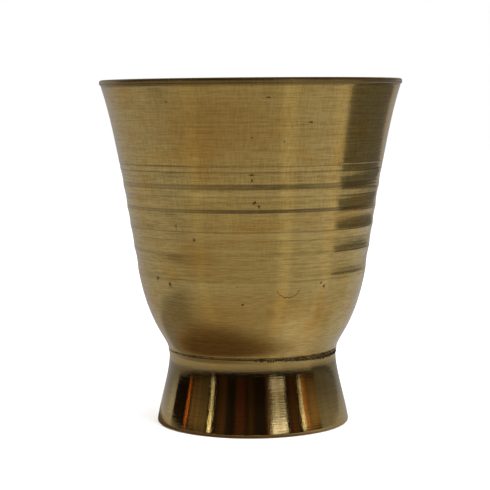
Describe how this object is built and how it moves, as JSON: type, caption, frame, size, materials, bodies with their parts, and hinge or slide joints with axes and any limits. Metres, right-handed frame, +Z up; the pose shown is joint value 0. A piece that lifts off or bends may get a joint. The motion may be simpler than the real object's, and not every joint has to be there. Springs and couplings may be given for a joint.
{
  "type": "bar jigger",
  "caption": "Turned brass bar measure: a flared, ring-turned bowl brazed onto a low flared foot.",
  "frame": {"origin": "middle of the foot's underside, on the turning axis", "axes": "+Z up along the turning axis; the object is round, so +X and +Y only complete the frame"},
  "size_m": [0.0534, 0.0534, 0.0608],
  "materials": {
    "bowl_brass": "satin, lathe-turned, aged and stained",
    "foot_brass": "mirror-polished below a satin neck, aged",
    "braze_alloy": "dull, darkened by flux"
  },
  "bodies": {
    "root": {"bowl": "bowl_brass", "foot": "foot_brass", "braze_ring": "braze_alloy"}
  },
  "joints": []
}
